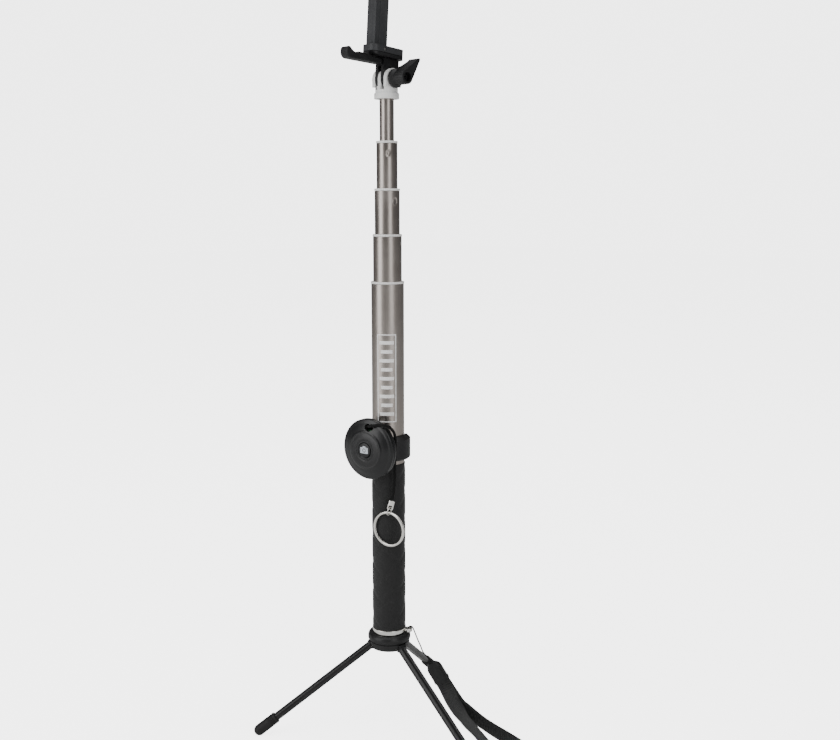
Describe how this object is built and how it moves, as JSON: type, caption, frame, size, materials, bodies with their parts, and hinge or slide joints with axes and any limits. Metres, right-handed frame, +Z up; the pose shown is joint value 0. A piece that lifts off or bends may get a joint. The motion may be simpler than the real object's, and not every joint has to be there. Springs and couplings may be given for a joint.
{
  "type": "selfie stick",
  "caption": "Telescoping selfie stick on a folding mini tripod, with a tilting spring phone clamp, a clip-on remote shutter and a wrist strap.",
  "frame": {"origin": "on the floor under the stick's axis, where the tripod stands", "axes": "+Z up along the stick; +X along the head's tilt pin towards the thumb knob; -Y the side the clamp's hooks and the remote face"},
  "size_m": [0.2067, 0.1905, 0.5912],
  "materials": {
    "tube_metal": "satin titanium-grey anodised",
    "collar_pale": "pale satin moulding",
    "head_white": "white moulded plastic",
    "black_plastic": "fine-grained moulded plastic",
    "grey_plastic": "dark grey moulded plastic",
    "gloss_black": "semi-gloss moulded plastic",
    "grip_rubber": "soft matt rubber",
    "chrome": "polished plating",
    "steel": "zinc plated",
    "circuit": "solder-masked board",
    "cord_black": "braided cord",
    "webbing": "ribbed woven webbing"
  },
  "bodies": {
    "tripod": {"hub_upper_shell": "black_plastic", "hub_lower_shell": "black_plastic", "tripod_stud": "steel", "leg_pin_1": "steel", "leg_pin_2": "steel", "leg_pin_3": "steel", "strap_ring": "chrome", "strap_string": "cord_black", "strap_cap": "black_plastic", "strap_webbing": "webbing"},
    "leg_a": {"leg_1": "black_plastic", "leg_foot_1": "grip_rubber"},
    "leg_b": {"leg_2": "black_plastic", "leg_foot_2": "grip_rubber"},
    "leg_c": {"leg_3": "black_plastic", "leg_foot_3": "grip_rubber"},
    "stick": {"main_tube": "tube_metal", "end_collar_1": "collar_pale", "grip_sleeve": "grip_rubber", "bottom_plug": "black_plastic"},
    "section_1": {"slide_tube_1": "tube_metal", "end_collar_2": "collar_pale", "slide_bush_1": "black_plastic"},
    "section_2": {"slide_tube_2": "tube_metal", "end_collar_3": "collar_pale", "slide_bush_2": "black_plastic"},
    "section_3": {"slide_tube_3": "tube_metal", "end_collar_4": "collar_pale", "slide_bush_3": "black_plastic"},
    "section_4": {"slide_tube_4": "tube_metal", "slide_bush_4": "black_plastic", "clevis_head": "head_white", "hex_nut": "steel"},
    "thumb_screw": {"thumb_knob": "black_plastic", "thumb_bolt": "steel"},
    "clamp": {"head_adapter": "black_plastic", "adapter_screw": "steel", "base_bottom_shell": "black_plastic", "base_top_shell": "grey_plastic", "cross_pin": "steel", "spine_shell": "grey_plastic", "lower_jaw": "black_plastic", "lower_jaw_pad": "grip_rubber", "jaw_spring": "steel"},
    "sliding_jaw": {"upper_jaw": "black_plastic", "upper_jaw_pad": "grip_rubber", "jaw_slider": "grey_plastic", "spring_pin": "steel"},
    "holder": {"holder_clip": "black_plastic"},
    "remote": {"remote_rear_cover": "gloss_black", "remote_front_cover": "gloss_black", "coin_cell": "steel", "circuit_board": "circuit", "dome_switch": "steel", "lanyard_cord": "cord_black", "lanyard_crimp": "chrome", "lanyard_link": "chrome"},
    "button": {"shutter_button": "gloss_black"},
    "ring": {"key_ring": "chrome"}
  },
  "joints": [
    {"name": "leg_a_fold", "type": "hinge", "parent": "tripod", "child": "leg_a", "pos_m": [-0.00794, -0.01177, 0.0696], "axis": [0.829, -0.5592, 0], "range_deg": [0, 54]},
    {"name": "leg_b_fold", "type": "hinge", "parent": "tripod", "child": "leg_b", "pos_m": [0.01417, -0.00099, 0.0696], "axis": [0.0698, 0.9976, 0], "range_deg": [0, 54]},
    {"name": "leg_c_fold", "type": "hinge", "parent": "tripod", "child": "leg_c", "pos_m": [-0.00622, 0.01276, 0.0696], "axis": [-0.8988, -0.4384, 0], "range_deg": [0, 54]},
    {"name": "stick_turn", "type": "hinge", "parent": "tripod", "child": "stick", "pos_m": [0, 0, 0.0803], "axis": [0, 0, 1], "continuous": true},
    {"name": "extend_1", "type": "slide", "parent": "stick", "child": "section_1", "axis": [0, 0, 1], "range_m": [-0.0334, 0.214]},
    {"name": "extend_2", "type": "slide", "parent": "section_1", "child": "section_2", "axis": [0, 0, 1], "range_m": [-0.032, 0.2024]},
    {"name": "extend_3", "type": "slide", "parent": "section_2", "child": "section_3", "axis": [0, 0, 1], "range_m": [-0.0329, 0.1886]},
    {"name": "extend_4", "type": "slide", "parent": "section_3", "child": "section_4", "axis": [0, 0, 1], "range_m": [-0.03, 0.176]},
    {"name": "thumb_screw_turn", "type": "hinge", "parent": "section_4", "child": "thumb_screw", "pos_m": [0.015, 0, 0.51], "axis": [1, 0, 0], "continuous": true},
    {"name": "head_tilt", "type": "hinge", "parent": "section_4", "child": "clamp", "pos_m": [0, 0, 0.51], "axis": [1, 0, 0], "range_deg": [-86, 84]},
    {"name": "jaw_open", "type": "slide", "parent": "clamp", "child": "sliding_jaw", "axis": [0, 0.0698, 0.9976], "range_m": [0, 0.03], "stiffness_N_per_m": 200, "springref_m": -0.02},
    {"name": "holder_slide", "type": "slide", "parent": "stick", "child": "holder", "axis": [0, 0, 1], "range_m": [-0.0034, 0.1]},
    {"name": "remote_release", "type": "slide", "parent": "holder", "child": "remote", "axis": [0, 0, 1], "range_m": [0, 0.016]},
    {"name": "button_press", "type": "slide", "parent": "remote", "child": "button", "axis": [-0.1736, 0.9848, 0], "range_m": [0, 0.0006], "stiffness_N_per_m": 1500, "springref_m": -0.0002},
    {"name": "ring_swing", "type": "hinge", "parent": "remote", "child": "ring", "pos_m": [0.01269, -0.01185, 0.1831], "axis": [-0.9703, -0.2419, 0], "range_deg": [0, 75]}
  ]
}
